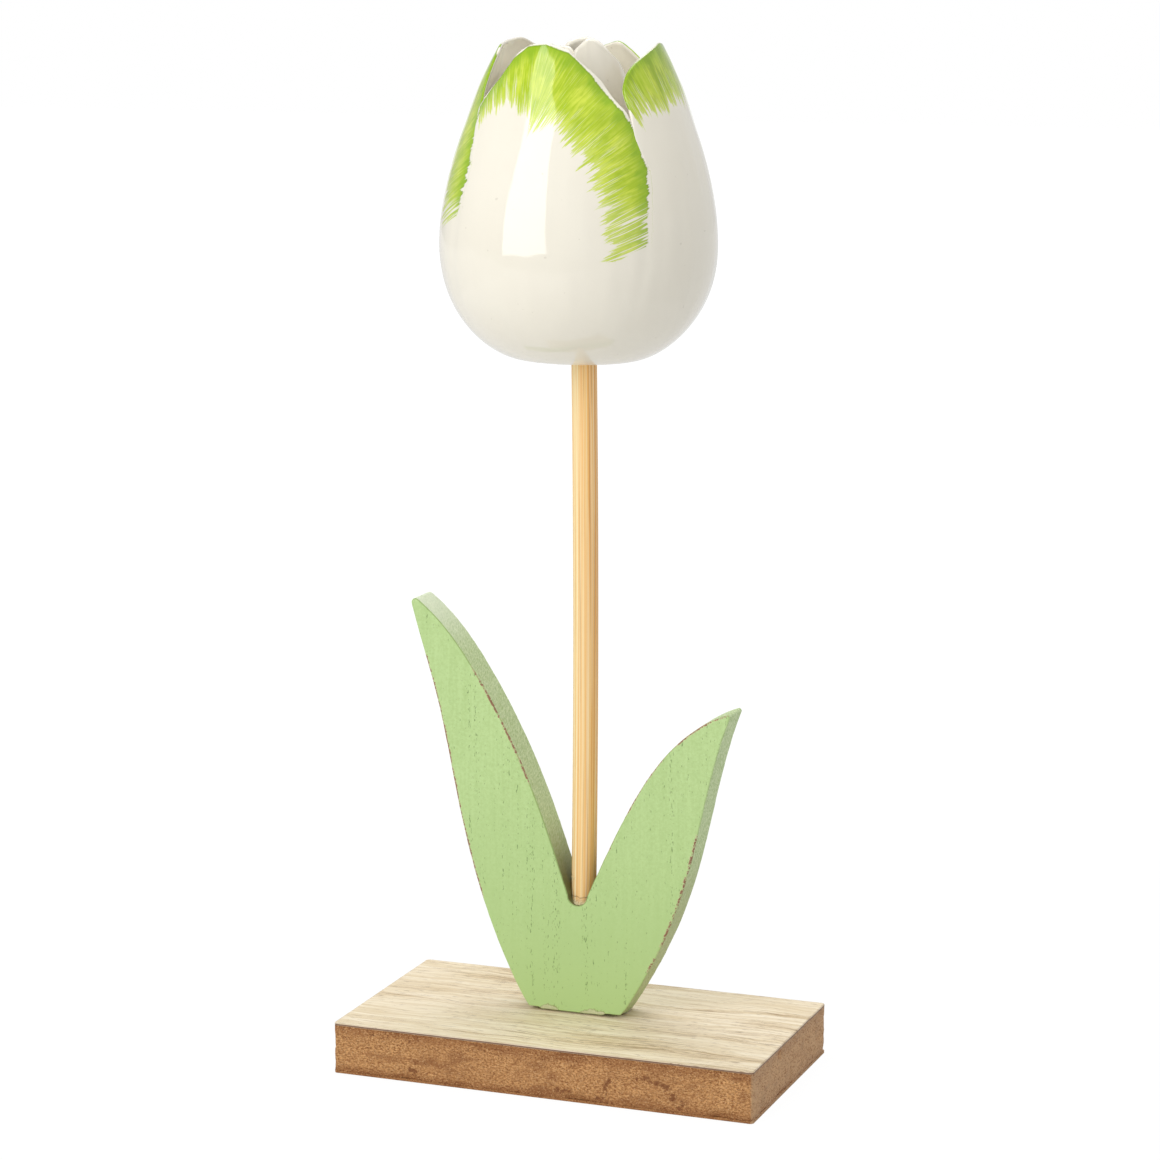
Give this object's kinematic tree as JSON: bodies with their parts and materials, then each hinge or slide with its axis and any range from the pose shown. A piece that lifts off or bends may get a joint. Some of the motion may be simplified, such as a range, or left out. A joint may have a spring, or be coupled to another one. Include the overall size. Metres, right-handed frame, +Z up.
{
  "type": "tulip ornament",
  "caption": "Free-standing tulip ornament: a hollow glazed ceramic bloom on a bamboo stick, held in a painted wooden leaf cut-out on a rectangular veneered base.",
  "frame": {"origin": "centre of the underside of the base, on the table", "axes": "+Z up along the stem, +X along the base's long side, towards the shorter leaf, -Y is the painted front"},
  "size_m": [0.102, 0.0646, 0.2369],
  "materials": {
    "fibreboard": "brown fibreboard, matt and speckled, raw at its sawn edges",
    "veneer": "pale matt wood veneer with darker streaks along the length",
    "leaf_paint": "pale green satin paint over open-pored wood, rubbed through at the edges",
    "bamboo": "bare bamboo with long fibres, satin",
    "glaze": "glossy cream-white glaze with brushed yellow-green petal edges",
    "glue": "clear yellowish glue",
    "screw_steel": "zinc-plated countersunk wood screws"
  },
  "bodies": {
    "root": {"base_board": "fibreboard", "top_veneer": "veneer", "backing_veneer": "fibreboard", "leaf_plate": "leaf_paint", "stem": "bamboo", "bloom_cup": "glaze", "inner_bud": "glaze", "foot_glue": "glue", "stem_glue": "glue", "bloom_glue": "glue", "base_screws": "screw_steel"}
  },
  "joints": []
}
